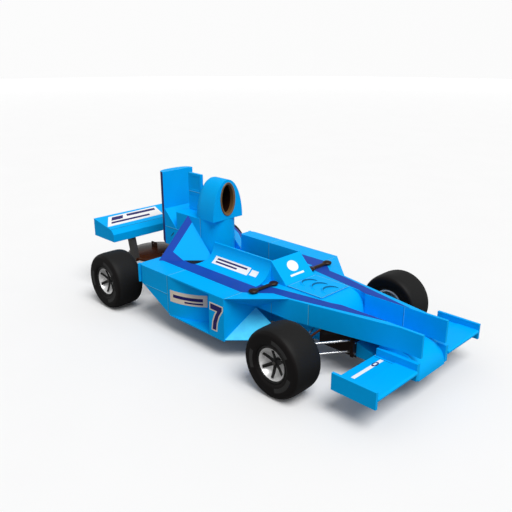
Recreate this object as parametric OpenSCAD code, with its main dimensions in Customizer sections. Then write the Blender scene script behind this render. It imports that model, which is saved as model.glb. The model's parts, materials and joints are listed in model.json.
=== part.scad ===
// Open-wheel racing car with a flat-panel body, in millimetres.
// X runs forward, Y to the left and Z up from the floor.  Lengths along the car are set from the
// front face of the tub, and the whole car is then centred on the middle of its own length.

/* [Body heights] */
// Height of the deck above the floor
deck_z = 660; // [600:5:800]
// Depth of the body from the deck down to its underside
body_depth = 440; // [400:5:530]
// Depth of the nose beams below the deck
beam_h = 220; // [180:5:270]
// Height of the cockpit rim above the deck
coaming_h = 220; // [180:5:270]
// Height of the engine cover above the deck
cover_h = 440; // [360:5:540]
// Height of the airbox above the engine cover
airbox_h = 450; // [370:5:540]
// Thickness of the floor pan
floor_t = 18; // [12:1:25]

/* [Tub and sidepods] */
// Half width of the tub between the sidepods
tub_y = 440; // [400:5:530]
// Half width of the car over the sidepods
pod_y = 880; // [730:5:1060]
// Length of the cockpit from the tub's front face to the driver's back
cockpit_l = 880; // [730:5:1060]
// Half width inside the cockpit
cockpit_y = 200; // [165:5:205]
// Thickness of the cockpit floor and rear bulkhead
tub_wall = 30; // [20:1:40]
// Length of the sidepods
pod_l = 1408; // [1340:2:1480]
// Length of the sidepods' flat underside
pod_flat_l = 880; // [800:5:1000]
// Length over which the sidepods' underside sweeps up to half height
pod_sweep_l = 440; // [370:5:440]
// Radius of the sidepods' rear corners
pod_corner_r = 80; // [40:5:120]
// Length of the solid block ahead of each side vent
pod_block_l = 220; // [180:5:270]
// Radius of the vent's curved inner wall
vent_r = 660; // [560:5:660]
// Thickness of the deck above the vent
vent_lip = 15; // [10:1:25]
// Skin between the vent and the tub
vent_skin = 20; // [12:1:30]
// Length of the pointed shoulders ahead of the sidepods
shoulder_l = 440; // [380:5:440]

/* [Nose] */
// Half width of the cowl, engine cover and nose tip
cowl_y = 220; // [210:2:264]
// Length of the sloping cowl ramp
ramp_l = 220; // [180:5:260]
// Length of the louvred panel ahead of the ramp
louvre_l = 440; // [380:5:520]
// Height of the louvred panel above the deck
louvre_rise = 11; // [6:1:20]
// Thickness of the panels that roof the footwell
roof_t = 20; // [14:1:28]
// Length of the beams' straight rear part
beam_straight_l = 440; // [380:5:520]
// Length over which the beams taper in
beam_taper_l = 1100; // [1000:5:1300]
// Length of the beams' parallel tips
beam_tip_l = 220; // [190:5:260]
// Wall of the nose beams at the tip
beam_wall = 30; // [20:1:40]
// Thickness of the nose channel's floor
nose_floor_t = 12; // [8:1:20]
// Thickness of the footbox walls
footbox_wall = 20; // [14:1:28]
// Length of the front bulkhead box
bulkhead_l = 440; // [380:5:440]
// Depth that the bulkhead box hangs below the body
bulkhead_drop = 22; // [10:1:30]
// Length of the nose tip's block behind its curve
tip_block_l = 200; // [180:5:240]

/* [Wings] */
// Front wing's leading edge ahead of the nose tip
wing_lead = 11; // [5:1:30]
// Chord of the front wing's main plane
main_chord = 231; // [200:1:270]
// Chord of the front flaps
flap_chord = 209; // [180:1:240]
// Thickness of the front wing
wing_t = 40; // [30:1:50]
// Height of the front wing's top above the body's underside
wing_rise = 121; // [100:1:140]
// Step down from the main plane to the flaps
flap_step = 6; // [3:1:12]
// Thickness of the front endplates
endplate_t = 30; // [20:1:36]
// Height of the front endplates
endplate_h = 160; // [140:1:190]
// Thickness of the inner fences
fence_t = 44; // [30:1:50]
// Half width of the rear wing
rear_wing_y = 660; // [560:5:790]
// Chord of the rear wing
rear_chord = 438; // [370:2:520]
// Height of the rear wing's rear face
rear_wing_h = 220; // [190:2:270]
// Rear wing's front face behind the rear axle
rear_wing_back = 288; // [260:2:340]
// Width of the rear wing's struts along the car
strut_w = 110; // [90:1:130]
// Thickness of the rear wing's struts across the car
strut_t = 55; // [40:1:65]
// Place of the struts' inner faces from the middle
strut_y = 330; // [280:5:390]
// Rearward lean of the struts from bottom to top
strut_lean = 63; // [40:1:80]

/* [Engine cover] */
// Length of the cover's box behind its round front
cover_l = 440; // [400:5:520]
// Length of the notch behind the cover's box
notch_l = 220; // [180:5:260]
// Length of the airbox's rounded rear
dome_l = 187; // [160:1:215]
// Half width of the airbox intake
intake_w = 110; // [90:1:130]
// Half height of the airbox intake
intake_h = 189; // [160:1:200]
// Height of the intake's middle above the airbox's foot
intake_rise = 229; // [215:1:240]
// Depth of the intake
intake_depth = 200; // [120:5:240]
// Thickness of the shark fin
fin_t = 40; // [24:1:50]
// Length of the shark fin
fin_l = 220; // [180:2:220]
// Height of the shark fin
fin_h = 440; // [360:5:520]
// Depth of the recessed panels in the fin's sides
fin_recess = 4; // [2:1:8]
// Half width of the tail blade
blade_y = 227; // [190:1:270]
// Depth of the tail blade behind its flat face
blade_depth = 128; // [105:1:150]
// Height of the tail blade above the deck
blade_h = 880; // [740:5:1050]
// Rise of the blade's slanted foot towards the rear
blade_foot = 70; // [40:1:90]

/* [Wheels and axles] */
// Outer radius of the tyres
tyre_r = 330; // [275:5:396]
// Width of the tyres
tyre_w = 340; // [284:2:400]
// Radius of the rounded tyre shoulders
shoulder_r = 50; // [30:1:60]
// Radius of the rims' bead seats
rim_r = 165; // [140:1:198]
// Thickness of the rims' barrels
rim_wall = 12; // [8:1:16]
// Inset of the rims' edges inside the tyres' side faces
rim_inset = 5; // [2:1:12]
// Number of spokes in each rim
spoke_count = 6; // [5:1:8]
// Thickness of the spokes round the wheel
spoke_t = 16; // [12:1:24]
// Depth of the spokes along the axle
spoke_depth = 26; // [18:1:36]
// Radius of the wheel hubs
hub_r = 42; // [36:1:50]
// Length of the wheel hubs
hub_l = 100; // [80:2:120]
// Shift of the hubs inboard from the middle of the tyre
hub_shift = 10; // [0:1:30]
// Distance between the axles
wheelbase = 2728; // [2660:2:3280]
// Front axle ahead of the tub's front face
front_axle_x = 792; // [760:2:820]
// Half width over the front tyres
front_outer_y = 1070; // [1040:2:1280]
// Half width over the rear tyres
rear_outer_y = 1018; // [990:2:1220]
// Distance from the steering axis to the front tyre's inner face
king_inset = 40; // [36:1:60]
// Radius of the steering pins
king_r = 10; // [8:1:14]
// Half height of the knuckle block
knuckle_h = 32; // [28:1:40]
// Radius of the front spindles
spindle_r = 20; // [16:1:24]
// Radius of the rear drive shafts
shaft_r = 16; // [13:1:20]
// Radius of the rear hub sleeves
sleeve_r = 30; // [25:1:36]
// Radial clearance of shafts and pins that turn in bores
run_clear = 0.05; // [0.03:0.01:0.08]

/* [Suspension and drive] */
// Radius of the wishbone tubes
arm_r = 11; // [8:1:11]
// Half the height between the upper and lower wishbones at the wheel
arm_spread = 55; // [50:1:62]
// Thickness of the wishbone eyes round the steering pins
eye_t = 24; // [23:1:28]
// Thickness of the suspension brackets
bracket_t = 33; // [24:1:40]
// Reach of the suspension brackets out of the bulkhead box
bracket_w = 55; // [40:1:70]
// Half width of the gearbox
gearbox_y = 140; // [120:2:160]
// Depth of the gearbox below the axle line
gearbox_down = 80; // [60:2:95]
// Height of the gearbox above the axle line
gearbox_up = 125; // [105:2:150]
// Gearbox's rear face behind the rear axle
gearbox_back = 324; // [300:2:340]
// Length of the engine block
engine_l = 640; // [540:5:680]
// Half width of the engine block
engine_y = 220; // [190:2:260]
// Radius of the tail housing
housing_r = 374; // [320:2:380]
// Half height of the tail housing
housing_h = 60; // [46:1:70]
// Tail housing's middle behind the rear axle
housing_back = 341; // [320:1:380]

/* [Cockpit fittings] */
// Radius of the steering wheel's rim line
steer_r = 100; // [90:1:120]
// Radius of the steering wheel's grip
grip_r = 12; // [10:1:15]
// Steering wheel's distance behind the cowl
steer_back = 150; // [120:2:200]
// Height of the steering column above the deck
column_rise = 30; // [25:1:80]
// Radius of the steering column
column_r = 12; // [10:1:16]
// Half width of the driver's seat
seat_y = 175; // [150:1:190]
// Wall of the driver's seat
seat_wall = 25; // [18:1:32]
// Distance of the mirrors ahead of the tub's front face
mirror_x = 99; // [80:1:120]
// Radius of the mirrors' end lobes
lobe_r = 50; // [40:1:60]
// Height of the mirrors
mirror_h = 46; // [36:1:55]
// Radius of the tow eye's hole
tow_r = 15; // [12:1:18]
// Thickness of the tow eye
tow_t = 16; // [12:1:20]
// Radius of the ballast bolt holes in the cockpit floor
ballast_r = 4.2; // [3:0.1:6]
// Length of the ballast bolt rectangle along the car
ballast_l = 200; // [160:5:240]
// Width of the ballast bolt rectangle across the car
ballast_w = 120; // [100:5:140]

/* [Hidden] */
$fn = 64;
over = 1;                                   // how far a cut runs past the face that it opens
under_z = deck_z - body_depth;              // underside of the body
mid_z = deck_z - beam_h;                    // underside of the nose beams
rim_z = deck_z + coaming_h;                 // top of the cockpit rim
cover_z = deck_z + cover_h;                 // top of the engine cover
column_x = -cockpit_l - cowl_y;             // axis of the cover's round front
cover_rear_x = column_x - cover_l;          // rear of the cover's box
blade_x = cover_rear_x - notch_l;           // flat face of the tail blade
louvre_x = ramp_l + louvre_l;               // where the louvred panel starts to curve down
roll_x = louvre_x + beam_h;                 // foot of its curve
taper_x = beam_straight_l + beam_taper_l;   // where the beams' parallel tips start
nose_x = taper_x + beam_tip_l;              // front of the nose
wing_front_x = nose_x + wing_lead;
main_rear_x = wing_front_x - main_chord;
flap_rear_x = main_rear_x - flap_chord;
wing_z = under_z + wing_rise;               // top of the front wing
fence_y = cowl_y + fence_t;
bulkhead_x = roll_x - beam_h;               // rear of the front bulkhead box
bulkhead_front_x = bulkhead_x + bulkhead_l;
rear_axle_x = front_axle_x - wheelbase;
rear_wing_x = rear_axle_x - rear_wing_back; // front face of the rear wing
rear_wing_z = deck_z + 4;                   // underside of the rear wing
car_rear_x = rear_wing_x - rear_chord;
mid_x = (wing_front_x + car_rear_x) / 2;    // middle of the car's length
front_y = front_outer_y - tyre_w / 2;       // middle of a front tyre
rear_y = rear_outer_y - tyre_w / 2;         // middle of a rear tyre
king_y = front_outer_y - tyre_w - king_inset;
hub_in = hub_l / 2 + hub_shift;             // hub's inner face from the middle of the tyre
engine_x = -cockpit_l - 60;                 // front of the engine block
engine_rear_x = engine_x - engine_l;
engine_z = under_z + 10;
gearbox_rear_x = rear_axle_x - gearbox_back;
gearbox_top = tyre_r + gearbox_up;
gearbox_front_rear_x = rear_axle_x - 40;    // rear of the gearbox's tall case
tail_top = tyre_r + 26;                     // top of its low tail
strut_x = rear_wing_x - 76;                 // rear of the wing struts' feet
tow_z = gearbox_top + 22;                   // height of the tow eye's hole
upright_y = rear_outer_y - tyre_w - 48;     // inner face of a rear upright
upright_t = 30;
vent_y = tub_y + vent_skin;
column_z = deck_z + column_rise;
cockpit_floor = under_z + footbox_wall;

// ---- helpers ----

// A box from its lowest to its highest corner.
module block(low, high) {
    translate(low) cube(high - low);
}

// An outline drawn along X and Z, given its width from y0 to y1.
module across(y0, y1) {
    translate([0, y1, 0]) rotate([90, 0, 0]) linear_extrude(y1 - y0) children();
}

// An outline drawn along Y and Z, given its length from x0 to x1.
module along(x0, x1) {
    translate([x0, 0, 0]) rotate([90, 0, 90]) linear_extrude(x1 - x0) children();
}

// The shape on the left, side = 1, or mirrored to the right, side = -1.
module on_side(side) {
    mirror([0, side < 0 ? 1 : 0, 0]) children();
}

// The same shape on both sides.
module both_sides() {
    on_side(1) children();
    on_side(-1) children();
}

// A straight round bar between two points.
module bar(from, to, r) {
    run = to - from;
    flat = norm([run.x, run.y]);
    translate(from)
        rotate([0, atan2(flat, run.z), atan2(run.y, run.x)])
            cylinder(h = norm(run), r = r);
}

// A cylinder along the axle, from y0 outward to y1.
module spin(y0, y1, r) {
    translate([0, y1, 0]) rotate([90, 0, 0]) cylinder(h = y1 - y0, r = r);
}

// Everything is set from the tub's front face and drawn about the middle of the car.
module placed() {
    translate([-mid_x, 0, 0]) children();
}

// ---- body ----

module tub() {
    color("deepskyblue") placed() difference() {
        union() {
            block([-cockpit_l, -tub_y, under_z], [0, tub_y, deck_z]);
            block([0, -cowl_y, under_z], [bulkhead_x, cowl_y, mid_z]);
        }
        block([tub_wall - cockpit_l, -cockpit_y, cockpit_floor], [over, cockpit_y, deck_z + over]);
        block([0, -cockpit_y, cockpit_floor], [bulkhead_x + over, cockpit_y, mid_z + over]);
        ballast_holes();
    }
}

// Four bolt holes through the footwell's floor.
module ballast_holes() {
    for (dx = [-1, 1], dy = [-1, 1])
        translate([ramp_l + dx * ballast_l / 2, dy * ballast_w / 2, under_z - over])
            cylinder(h = footbox_wall + 2 * over, r = ballast_r);
}

module floor_pan() {
    color("darkslategray") placed()
        block([-pod_flat_l, -pod_y, under_z - floor_t], [0, pod_y, under_z]);
}

// Plan of a sidepod, with its rounded rear corner.
module pod_plan() {
    translate([pod_corner_r - pod_l, tub_y]) square([pod_l - pod_corner_r, pod_y - tub_y]);
    translate([-pod_l, tub_y]) square([pod_corner_r, pod_y - tub_y - pod_corner_r]);
    translate([pod_corner_r - pod_l, pod_y - pod_corner_r]) circle(pod_corner_r);
}

// Side view of a sidepod, swept up at the rear.
module pod_profile() {
    sweep_x = -pod_flat_l - pod_sweep_l;
    tail_z = under_z + body_depth / 2;
    polygon([
        [0, under_z], [0, deck_z], [-pod_l, deck_z], [-pod_l, tail_z + 11],
        [sweep_x, tail_z], [-pod_flat_l, under_z]
    ]);
}

// The space of a side vent: ahead of and outside a quarter cylinder.
module vent_plan() {
    difference() {
        translate([-pod_flat_l, vent_y])
            square([pod_flat_l - pod_block_l, pod_y + over - vent_y]);
        translate([-pod_flat_l, pod_y - vent_r]) circle(vent_r);
    }
}

// A three-cornered shoulder: flat at height flat_z, with its point at height point_z.
module shoulder(flat_z, point_z) {
    corners = [[0, pod_y, flat_z], [shoulder_l, tub_y, flat_z], [0, tub_y, flat_z], [0, tub_y, point_z]];
    flip = flat_z < point_z;
    faces = [[0, 1, 2], [0, 3, 1], [1, 3, 2], [2, 3, 0]];
    polyhedron(corners, flip ? [for (face = faces) [face[2], face[1], face[0]]] : faces);
}

module sidepod(side) {
    color("deepskyblue") placed() on_side(side) {
        difference() {
            intersection() {
                translate([0, 0, under_z]) linear_extrude(body_depth) pod_plan();
                across(tub_y, pod_y) pod_profile();
            }
            translate([0, 0, under_z - over])
                linear_extrude(body_depth - vent_lip + over) vent_plan();
        }
        shoulder(deck_z, mid_z);
        shoulder(under_z, mid_z);
    }
}

// Two rails beside the cockpit, each hollowed outside by a quarter pipe.
module cockpit_surround() {
    lip = 2;
    color("deepskyblue") placed() both_sides() along(-cockpit_l, 0) difference() {
        translate([cockpit_y, deck_z]) square([tub_y - cockpit_y, coaming_h]);
        translate([tub_y, rim_z]) scale([(tub_y - cowl_y) / coaming_h, 1]) circle(coaming_h - lip);
    }
}

module cowl() {
    color("deepskyblue") placed() difference() {
        across(-cowl_y, cowl_y) polygon([[0, deck_z], [0, rim_z], [ramp_l, deck_z]]);
        translate([-over, 0, column_z]) rotate([0, 90, 0])
            cylinder(h = 60 + over, r = column_r + run_clear);
    }
}

// Roof of the footwell, rolled down at its front.
module louvre_profile() {
    top_z = deck_z + louvre_rise;
    translate([0, deck_z - roof_t]) square([louvre_x, roof_t]);
    translate([ramp_l, deck_z]) square([louvre_x - ramp_l, louvre_rise]);
    intersection() {
        translate([louvre_x, mid_z]) difference() {
            circle(beam_h);
            circle(beam_h - roof_t);
        }
        translate([louvre_x, mid_z]) square([beam_h, top_z - mid_z]);
    }
}

module louvre_panel() {
    color("deepskyblue") placed() across(-cowl_y, cowl_y) louvre_profile();
}

module nose_beam(side) {
    color("deepskyblue") placed() on_side(side) translate([0, 0, mid_z]) linear_extrude(beam_h)
        polygon([
            [0, cowl_y], [0, tub_y], [beam_straight_l, tub_y], [taper_x, cowl_y], [nose_x, cowl_y],
            [nose_x, cowl_y - beam_wall], [roll_x, cowl_y - beam_wall], [roll_x, cowl_y]
        ]);
}

module nose_floor() {
    inner_y = cowl_y - beam_wall;
    color("deepskyblue") placed()
        block([roll_x, -inner_y, mid_z], [taper_x, inner_y, mid_z + nose_floor_t]);
}

// The rounded nose tip and the small wedge behind it.
module nose_fairings() {
    color("deepskyblue") placed() {
        across(-cowl_y, cowl_y) {
            translate([taper_x - tip_block_l, under_z]) square([tip_block_l, mid_z - under_z]);
            intersection() {
                translate([taper_x, under_z]) circle(mid_z - under_z);
                translate([taper_x, under_z]) square(mid_z - under_z);
            }
        }
        across(-cowl_y, cowl_y) translate([bulkhead_front_x, under_z])
            polygon([[0, -7], [0, 143], [194, 75], [108, -7]]);
    }
}

// Box across the nose that carries the pedals and the front wishbones' brackets.
module front_bulkhead() {
    bottom = under_z - bulkhead_drop;
    color("black") placed() {
        difference() {
            block([bulkhead_x, -cowl_y, bottom], [bulkhead_front_x, cowl_y, mid_z]);
            block([bulkhead_x - over, -cockpit_y, cockpit_floor],
                [bulkhead_x + beam_h, cockpit_y, mid_z - footbox_wall]);
        }
        both_sides()
            block([bulkhead_front_x - bracket_t, cowl_y, under_z], [bulkhead_front_x, cowl_y + bracket_w, mid_z - 44]);
    }
}

// ---- wings ----

module front_wing() {
    color("deepskyblue") placed() both_sides() across(fence_y, pod_y - endplate_t) {
        translate([main_rear_x, wing_z - wing_t]) square([main_chord - wing_t / 2, wing_t]);
        translate([wing_front_x - wing_t / 2, wing_z - wing_t / 2]) circle(wing_t / 2);
    }
}

module front_flaps() {
    color("deepskyblue") placed() both_sides()
        block([flap_rear_x, fence_y, wing_z - wing_t + flap_step],
            [main_rear_x, pod_y - endplate_t, wing_z - flap_step]);
}

module front_endplates() {
    color("deepskyblue") placed() both_sides()
        block([flap_rear_x - 11, pod_y - endplate_t, under_z + bulkhead_drop],
            [nose_x + 7, pod_y, under_z + bulkhead_drop + endplate_h]);
}

module front_fences() {
    color("deepskyblue") placed() both_sides()
        block([flap_rear_x + 11, cowl_y, under_z + 18], [nose_x, fence_y, under_z + 185]);
}

module rear_wing() {
    top = rear_wing_z + rear_wing_h;
    color("deepskyblue") placed() translate([rear_wing_x, 0, 0])
        across(-rear_wing_y, rear_wing_y) polygon([
            [-rear_chord, rear_wing_z], [-rear_chord, top], [-51, top - 70],
            [0, top - 125], [0, rear_wing_z]
        ]);
}

// Two leaning struts on a crossbeam that lies in the tail housing.
module strut_frame() {
    beam_top = tail_top + 44;
    block([strut_x, -strut_y - strut_t, tail_top], [strut_x + strut_w, strut_y + strut_t, beam_top]);
    both_sides() across(strut_y, strut_y + strut_t) polygon([
        [strut_x, beam_top], [strut_x + strut_w, beam_top],
        [strut_x + strut_w - strut_lean, rear_wing_z], [strut_x - strut_lean, rear_wing_z]
    ]);
}

// Upright plate of the rear tow eye, from the crossbeam up through the housing behind the struts.
module tow_plate() {
    block([strut_x - 80, -tow_t / 2, tail_top + 14], [strut_x + 30, tow_t / 2, tow_z + 22]);
}

module wing_struts() {
    color("dimgray") placed() difference() {
        union() {
            strut_frame();
            tow_plate();
        }
        translate([strut_x - 52, 0, tow_z]) spin(-tow_t, tow_t, tow_r);
    }
}

// ---- engine cover and tail ----

// Deck between the sidepods, over the engine.
module engine_deck() {
    color("deepskyblue") placed()
        block([-pod_l, -tub_y, deck_z - tub_wall], [-cockpit_l, tub_y, deck_z]);
}

module engine_cover() {
    low_z = deck_z + cover_h / 2;
    color("deepskyblue") placed() {
        across(-cowl_y, cowl_y) polygon([
            [column_x, deck_z], [column_x, cover_z], [cover_rear_x, cover_z],
            [cover_rear_x, low_z], [blade_x, cover_z], [blade_x, deck_z]
        ]);
        intersection() {
            translate([column_x, 0, deck_z]) cylinder(h = cover_h, r = cowl_y);
            block([column_x, -cowl_y, deck_z], [-cockpit_l, cowl_y, cover_z]);
        }
    }
}

// Points of a half ellipse that stands on its flat side.
function arch(w, h, steps) = [for (i = [0:steps]) [w * cos(180 * i / steps), h * sin(180 * i / steps)]];

// An arch that runs straight and then closes over as a quarter ellipsoid.
module domed_arch(w, h, straight, dome) {
    steps = 36;
    rows = 9;
    size = steps + 1;
    rings = [
        for (j = [0:rows])
            let (turn = j == 0 ? 0 : 90 * (j - 1) / rows, x = j == 0 ? straight : -dome * sin(turn))
                for (p = arch(w * cos(turn), h * cos(turn), steps)) [x, p.x, p.y]
    ];
    last = size * (rows + 1);
    walls = [
        for (j = [0:rows - 1], i = [0:steps])
            [j * size + i, j * size + (i + 1) % size, (j + 1) * size + (i + 1) % size, (j + 1) * size + i]
    ];
    cap = [for (i = [0:steps]) [rows * size + i, rows * size + (i + 1) % size, last]];
    polyhedron(concat(rings, [[-dome, 0, 0]]), concat([[for (i = [steps:-1:0]) i]], walls, cap));
}

module airbox() {
    color("deepskyblue") placed() difference() {
        translate([column_x, 0, cover_z]) domed_arch(cowl_y, airbox_h, cowl_y, dome_l);
        translate([-cockpit_l - intake_depth, 0, cover_z + intake_rise])
            along(0, intake_depth + over) scale([intake_w / intake_h, 1]) circle(intake_h);
    }
}

module fin() {
    border = 30;
    half = fin_h / 2;
    color("deepskyblue") placed() difference() {
        block([cover_rear_x, -fin_t / 2, cover_z], [cover_rear_x + fin_l, fin_t / 2, cover_z + fin_h]);
        for (side = [-1, 1], low = [0, half])
            block([cover_rear_x + border, side * fin_t / 2 - fin_recess, cover_z + low + border],
                [cover_rear_x + fin_l - border, side * fin_t / 2 + fin_recess, cover_z + low + half - border]);
    }
}

// Half of the blade's curved back, as a fraction of its width and depth.
function squircle(turn, power) = [sign(sin(turn)) * pow(abs(sin(turn)), 2 / power), pow(cos(turn), 2 / power)];

module tail_blade() {
    power = 2.6;
    steps = 20;
    color("midnightblue") placed() intersection() {
        translate([blade_x, 0, deck_z]) linear_extrude(blade_h) polygon([
            for (i = [-steps:steps])
                let (p = squircle(min(89.9, 90 * abs(i) / steps) * sign(i), power)) [-blade_depth * p.y, blade_y * p.x]
        ]);
        across(-blade_y, blade_y) translate([blade_x, deck_z]) polygon([
            [0, 0], [0, blade_h], [-blade_depth, blade_h], [-blade_depth, blade_foot]
        ]);
    }
}

// A three-cornered sail on each side, from the deck up to the top of the engine cover.
module buttresses() {
    rear_x = -cockpit_l - 2 * cowl_y;
    color("deepskyblue") placed() both_sides() polyhedron(
        [[rear_x, cowl_y, cover_z], [rear_x, cowl_y + cover_h, deck_z], [-cockpit_l, cowl_y, deck_z],
            [rear_x, cowl_y, deck_z]],
        [[0, 1, 2], [0, 3, 1], [1, 3, 2], [2, 3, 0]]
    );
}

// ---- engine and drive ----

module engine_block() {
    color("dimgray") placed()
        block([engine_rear_x, -engine_y, engine_z], [engine_x, engine_y, deck_z - tub_wall]);
}

// The gearbox's outside: a tall case, and a low tail under the crossbeam.
module gearbox_case() {
    block([gearbox_front_rear_x, -gearbox_y, tyre_r - gearbox_down], [engine_rear_x, gearbox_y, gearbox_top]);
    block([gearbox_rear_x, -gearbox_y, tyre_r - gearbox_down], [gearbox_front_rear_x, gearbox_y, tail_top]);
}

module gearbox() {
    color("black") placed() difference() {
        gearbox_case();
        both_sides() translate([rear_axle_x, 0, tyre_r])
            spin(gearbox_y - 20, gearbox_y + over, shaft_r + run_clear);
    }
}

module tail_housing() {
    color("saddlebrown") placed() difference() {
        translate([rear_axle_x - housing_back, 0, tyre_r + 48])
            scale([1, 1, housing_h / housing_r]) sphere(housing_r, $fn = 40);
        gearbox_case();
        strut_frame();
        tow_plate();
    }
}

// ---- cockpit fittings ----

module mirrors() {
    inner_y = 286;
    outer_y = 572;
    color("saddlebrown") placed() both_sides() translate([mirror_x, 0, deck_z]) linear_extrude(mirror_h) {
        translate([0, inner_y]) circle(lobe_r * 0.8);
        translate([0, outer_y]) circle(lobe_r);
        translate([-lobe_r * 0.45, inner_y]) square([lobe_r * 0.9, outer_y - inner_y]);
    }
}

// Side view of the seat's outside, from the front of its pan to the top of its back.
module seat_profile(grow) {
    back_x = tub_wall - cockpit_l;
    polygon([
        [back_x + 610, 0], [back_x + 610, 100], [back_x + 380, 140], [back_x + 160, 400],
        [back_x, 400], [back_x + 230, 0]
    ]);
}

module driver_seat() {
    back_x = tub_wall - cockpit_l;
    color("black") placed() translate([0, 0, cockpit_floor]) difference() {
        across(-seat_y, seat_y) seat_profile();
        across(seat_wall - seat_y, seat_y - seat_wall) polygon([
            [back_x + 610 + over, seat_wall], [back_x + 305, seat_wall], [back_x + 60, 400 + over],
            [back_x + 610 + over, 400 + over]
        ]);
    }
}

module steering_wheel() {
    color("black") placed() translate([-steer_back, 0, column_z]) rotate([0, 90, 0]) {
        rotate_extrude() translate([steer_r, 0]) circle(grip_r);
        for (turn = [-90, 0, 90])
            rotate([0, 0, turn]) translate([0, -10, -4]) cube([steer_r, 20, 8]);
        translate([0, 0, -14]) cylinder(h = 28, r = 36);
        cylinder(h = steer_back + 50, r = column_r);
    }
}

// ---- suspension ----

// One wishbone: two tubes that meet at an eye round the upright steering pin.
module front_arm(inner_z, eye_z) {
    hub = [front_axle_x, king_y, eye_z];
    tube_end = hub - [0, king_r + 6, 0];
    difference() {
        union() {
            bar([bulkhead_front_x - bracket_t - arm_r, cowl_y - arm_r, inner_z], tube_end, arm_r);
            bar([bulkhead_x - 60, cowl_y - arm_r, inner_z], tube_end, arm_r);
            translate(hub - [0, 0, eye_t / 2]) cylinder(h = eye_t, r = king_r + 14);
        }
        translate(hub - [0, 0, eye_t]) cylinder(h = 2 * eye_t, r = king_r + run_clear);
    }
}

module front_wishbones() {
    color("silver") placed() both_sides() difference() {
        union() {
            front_arm(mid_z - 77, tyre_r + arm_spread);
            front_arm(under_z + 18 + arm_r, tyre_r - arm_spread);
        }
        block([bulkhead_x - 120, -cowl_y, under_z - 100], [bulkhead_front_x + 50, cowl_y, mid_z]);
    }
}

// One rear wishbone: two tubes from the gearbox's side to a boss on the upright.
module rear_arm(front_x, rear_x, inner_z, hub_z) {
    boss_l = 24;
    hub = [rear_axle_x, upright_y, hub_z];
    for (x = [front_x, rear_x])
        bar([x, gearbox_y - arm_r, inner_z], hub - [0, boss_l / 2, 0], arm_r);
    translate(hub) rotate([90, 0, 0]) cylinder(h = boss_l, r = arm_r + 5);
}

module rear_wishbones() {
    color("silver") placed() both_sides() difference() {
        union() {
            rear_arm(rear_axle_x + 250, rear_axle_x + 60, tyre_r + 80, tyre_r + 80);
            rear_arm(rear_axle_x + 250, rear_axle_x - 150, tyre_r - 60, tyre_r - 80);
        }
        block([gearbox_rear_x, 0, 0], [engine_rear_x, gearbox_y, deck_z]);
    }
}

module rear_uprights() {
    color("dimgray") placed() both_sides() difference() {
        block([rear_axle_x - 45, upright_y, tyre_r - 100], [rear_axle_x + 45, upright_y + upright_t, tyre_r + 100]);
        translate([rear_axle_x, 0, tyre_r])
            spin(upright_y - over, upright_y + upright_t + over, sleeve_r + run_clear);
    }
}

// Steering knuckle: a block on an upright pin, with the spindle that carries the wheel.
module knuckle(side) {
    pin_h = arm_spread + eye_t / 2 + 2;
    root = front_y - hub_in - 2;
    color("dimgray") placed() on_side(side) translate([front_axle_x, 0, tyre_r]) {
        translate([0, king_y, -pin_h]) cylinder(h = 2 * pin_h, r = king_r);
        translate([0, king_y, -knuckle_h]) cylinder(h = 2 * knuckle_h, r = sleeve_r);
        spin(king_y, root, spindle_r + 8);
        spin(root, front_y + hub_l / 2 - hub_shift, spindle_r);
    }
}

module axle_shaft(side) {
    color("silver") placed() on_side(side) translate([rear_axle_x, 0, tyre_r]) {
        spin(gearbox_y - 18, upright_y - 5, shaft_r);
        spin(upright_y - 5, rear_y - hub_in, sleeve_r);
    }
}

// ---- wheels ----

// Half section of a tyre: a rectangle with its two outer corners rounded.
module tyre_section() {
    half = tyre_w / 2;
    translate([rim_r, -half]) square([tyre_r - shoulder_r - rim_r, tyre_w]);
    translate([rim_r, shoulder_r - half]) square([tyre_r - rim_r, tyre_w - 2 * shoulder_r]);
    for (end = [-1, 1])
        translate([tyre_r - shoulder_r, end * (half - shoulder_r)]) circle(shoulder_r);
}

module tyre(axle_x, y) {
    color("black") placed() translate([axle_x, y, tyre_r]) rotate([-90, 0, 0])
        rotate_extrude($fn = 96) tyre_section();
}

// A deep-dish rim: barrel, spokes and hub.  Local Z is outward, and a bore of 0 is a solid hub.
module rim_shape(bore) {
    half = tyre_w / 2 - rim_inset;
    difference() {
        union() {
            rotate_extrude($fn = 96) translate([rim_r - rim_wall, -half]) square([rim_wall, 2 * half]);
            translate([0, 0, -hub_in]) cylinder(h = hub_l, r = hub_r);
            for (i = [0:spoke_count - 1])
                rotate([0, 0, 360 * i / spoke_count + 90])
                    translate([0, -spoke_t / 2, -hub_shift - spoke_depth / 2])
                        cube([rim_r - rim_wall / 2, spoke_t, spoke_depth]);
        }
        if (bore > 0)
            translate([0, 0, -hub_in - over]) cylinder(h = hub_l + 2 * over, r = bore);
    }
}

module rim(side, axle_x, y, bore) {
    color("silver") placed() on_side(side) translate([axle_x, y, tyre_r]) rotate([-90, 0, 0])
        rim_shape(bore);
}

tub();
floor_pan();
sidepod(-1);  // sidepod_right
sidepod(1);  // sidepod_left
cockpit_surround();
cowl();
louvre_panel();
nose_beam(-1);  // nose_beam_right
nose_beam(1);  // nose_beam_left
nose_floor();
nose_fairings();
front_bulkhead();
front_wing();
front_flaps();
front_endplates();
front_fences();
engine_deck();
engine_cover();
airbox();
fin();
tail_blade();
buttresses();
rear_wing();
wing_struts();
gearbox();
tail_housing();
engine_block();
mirrors();
driver_seat();
steering_wheel();
front_wishbones();
rear_wishbones();
rear_uprights();
knuckle(-1);  // knuckle_right
knuckle(1);  // knuckle_left
axle_shaft(-1);  // axle_shaft_right
axle_shaft(1);  // axle_shaft_left
tyre(front_axle_x, -front_y);  // tyre_front_right
tyre(front_axle_x, front_y);  // tyre_front_left
tyre(rear_axle_x, -rear_y);  // tyre_rear_right
tyre(rear_axle_x, rear_y);  // tyre_rear_left
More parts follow.
